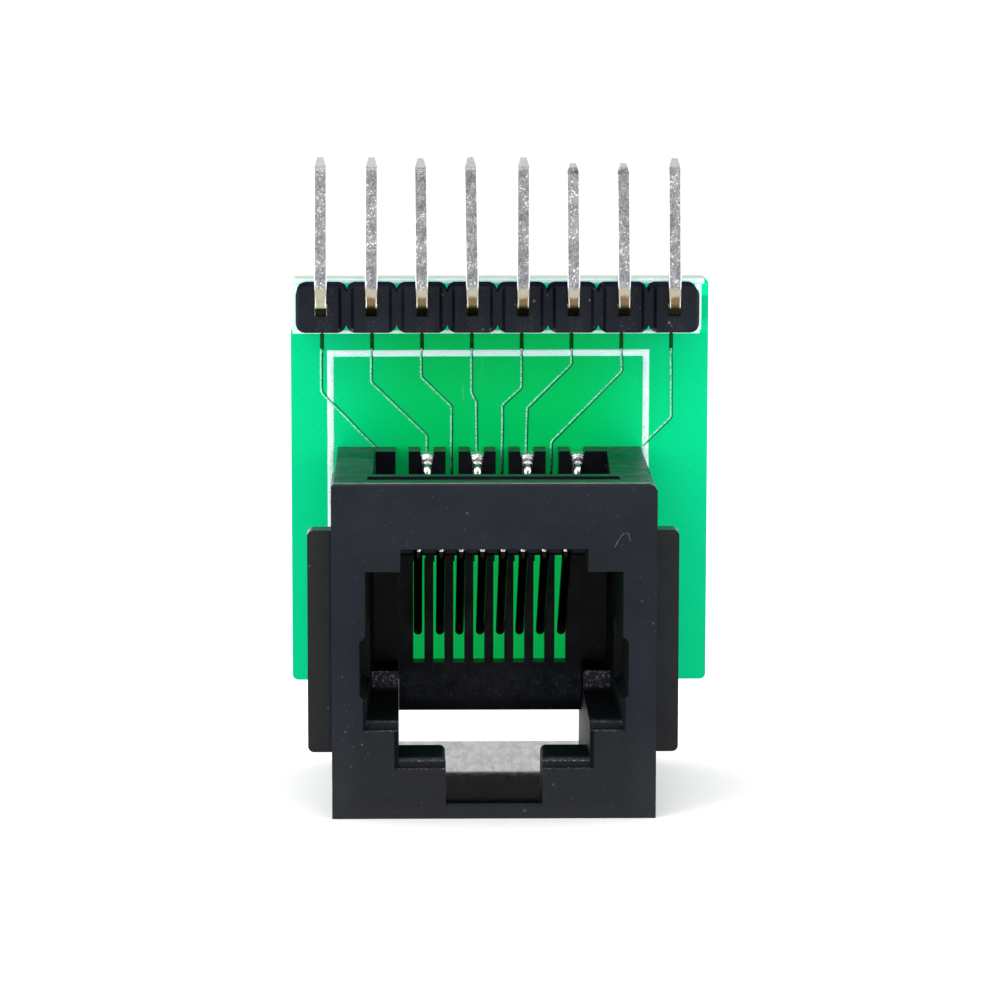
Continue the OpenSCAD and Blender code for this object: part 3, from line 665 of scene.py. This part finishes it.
for i in range(8):
    x = HX + (i - 3.5) * 2.54 + 0.005
    strip("track_stub_%d" % (i + 1), [(x, 22.45), (x, 21.27)], 0.21, 0.02, mat_stub, ridge=0.2)

SILK = {
    "silk_frame": ([(-8.62, 4.7), (-8.61, 21.10), (7.46, 21.13), (7.47, 4.7)], 0.33),
    "silk_header_top": ([(-10.62, 24.79), (10.40, 24.79)], 0.27),
    "silk_header_left": ([(-10.42, 24.64), (-10.42, 22.30)], 0.39),
    "silk_header_right": ([(10.10, 24.64), (10.10, 22.30)], 0.33),
    "silk_header_bottom": ([(-10.52, 22.20), (10.18, 22.20)], 0.17),
}
for k, (path, w) in SILK.items():
    strip(k, path, w, 0.022, mat_silk, ridge=0.15, wobble=0.006, seed=len(k))

def lumps():
    """Beads of solder that ran down each notch over the tails of the outer row."""
    rnd = random.Random(11)
    for k, n in enumerate((2, 4, 6, 8)):
        cx = JX + (n - 4.5) * 1.27
        bm = bmesh.new()
        for z, w, dy, hh in ((16.02, 0.30, 0.05, 0.17), (15.90, 0.27, 0.00, 0.20), (15.66, 0.22, -0.02, 0.19), (15.46, 0.16, -0.01, 0.15)):
            ox = rnd.uniform(-0.05, 0.05)
            seeds = [Vector((rnd.uniform(-1, 1), rnd.uniform(-1, 1), rnd.uniform(-1, 1))).normalized() for _ in range(7)]
            ret = bmesh.ops.create_icosphere(bm, subdivisions=4, radius=1.0)
            for v in ret["verts"]:
                d = v.co.normalized()
                k2 = 1.0 + sum(0.12 * max(0.0, d.dot(s) - 0.55) for s in seeds) + 0.04 * math.sin(9 * d.x + 7 * d.z)
                v.co = Vector(((cx + ox + d.x * w * k2) * MM, (YB - 1.76 + dy + d.y * 0.13 * k2) * MM, (z + d.z * hh * k2) * MM))
        ob = new_mesh("solder_lumps_%d" % n, bm)
        for p in ob.data.polygons:
            p.use_smooth = True
        keep(ob, mat_solder)


lumps()

# a curved scuff on the collar's face: a shallow bead of burred plastic
def scuff():
    m = Mat("scuff_grey")
    n = m.noise(3000, 3, 0.6)
    col = m.mix(m.rng(n, 0.35, 0.65), (0.03, 0.03, 0.035), (0.14, 0.14, 0.15))
    mat = m.set(color=col, rough=m.rng(n, 0.3, 0.7, 0.35, 0.6), normal=m.bump(n, 0.5, 0.00001), spec=0.4)
    pts = smooth_path([(5.241, 13.274), (5.407, 13.614), (5.574, 13.881), (5.742, 14.002), (5.91, 13.992), (6.008, 13.613)], 0.2, 3)
    strip("scuff", pts, 0.034, 0.004, mat, ridge=0.6, wobble=0.004, seed=5, face=YF)


scuff()

# ---------------------------------------------------------------- camera
def camera():
    cam = bpy.data.cameras.new("photo_view")
    cam.sensor_width = 36.0
    cam.lens = 4250 * 36.0 / 1000.0
    cam.clip_start = 0.005
    cam.clip_end = 20
    ob = bpy.data.objects.new("photo_view", cam)
    bpy.context.collection.objects.link(ob)
    yaw, pit, rol = (math.radians(a) for a in (1.2239, 8.5433, 0.0766))
    f = Vector((math.sin(yaw) * math.cos(pit), math.cos(yaw) * math.cos(pit), -math.sin(pit)))
    r = Vector((math.cos(yaw), -math.sin(yaw), 0))
    u = r.cross(f)
    r2 = r * math.cos(rol) + u * math.sin(rol)
    u2 = -r * math.sin(rol) + u * math.cos(rol)
    m = Matrix((r2, u2, -f)).transposed().to_4x4()
    m.translation = Vector((-4.566, -209.709, 45.87)) * MM
    ob.matrix_world = m
    bpy.context.scene.camera = ob


camera()


# ---------------------------------------------------------------- floor and light
def floor():
    me = bpy.data.meshes.new("studio_floor")
    s = 2.5
    me.from_pydata([(-s, -s, 0), (s, -s, 0), (s, s, 0), (-s, s, 0)], [], [(0, 1, 2, 3)])
    ob = bpy.data.objects.new("studio_floor", me)
    bpy.context.collection.objects.link(ob)
    m = Mat("studio_floor")
    col = m.mix(m.noise(6, 2, 0.5), (0.88, 0.88, 0.88), (0.90, 0.90, 0.90))
    me.materials.append(m.set(color=col, rough=0.9, spec=0.1))
    return ob


floor()


def area(name, pos, target, size, power, color=(1, 1, 1), spread=None):
    li = bpy.data.lights.new(name, "AREA")
    li.shape = "RECTANGLE"
    li.size, li.size_y = size
    li.energy = power
    li.color = color
    if spread:
        li.spread = math.radians(spread)
    ob = bpy.data.objects.new(name, li)
    bpy.context.collection.objects.link(ob)
    ob.location = pos
    ob.rotation_euler = (Vector(target) - Vector(pos)).to_track_quat("-Z", "Y").to_euler()
    return ob


area("key", (-0.36, -0.42, 0.55), (0, 0, 0.015), (0.14, 0.14), 0.55)


def studio_world():
    """Soft tent: bright overhead and behind the object, dim in front of it."""
    w = bpy.data.worlds.new("studio")
    bpy.context.scene.world = w
    w.use_nodes = True
    t = w.node_tree
    bg = t.nodes["Background"]
    tc = t.nodes.new("ShaderNodeTexCoord")
    sep = t.nodes.new("ShaderNodeSeparateXYZ")
    t.links.new(tc.outputs["Generated"], sep.inputs[0])

    def rng(sock, a, b, c, d):
        n = t.nodes.new("ShaderNodeMapRange")
        n.interpolation_type = "SMOOTHSTEP"
        t.links.new(sock, n.inputs[0])
        for i, v in enumerate((a, b, c, d)):
            n.inputs[i + 1].default_value = v
        return n.outputs[0]

    def mixf(fac, a, b):
        n = t.nodes.new("ShaderNodeMix")
        n.data_type = "FLOAT"
        t.links.new(fac, n.inputs[0])
        for v, k in ((a, n.inputs[2]), (b, n.inputs[3])):
            if isinstance(v, float):
                k.default_value = v
            else:
                t.links.new(v, k)
        return n.outputs[0]

    back = rng(sep.outputs[1], -0.35, 0.45, 0.30, 1.25)
    left = mixf(rng(sep.outputs[0], -0.42, -0.62, 0.0, 1.0), back, 2.7)
    right = mixf(rng(sep.outputs[0], 0.45, 0.65, 0.0, 1.0), left, 2.1)
    up = mixf(rng(sep.outputs[2], 0.45, 0.85, 0.0, 1.0), right, 1.75)
    t.links.new(up, bg.inputs[1])
    bg.inputs[0].default_value = (1, 1, 1, 1)


studio_world()

sc = bpy.context.scene
sc.view_settings.view_transform = "Standard"
sc.view_settings.look = "None"
sc.view_settings.exposure = 0.0
sc.view_settings.gamma = 1.0
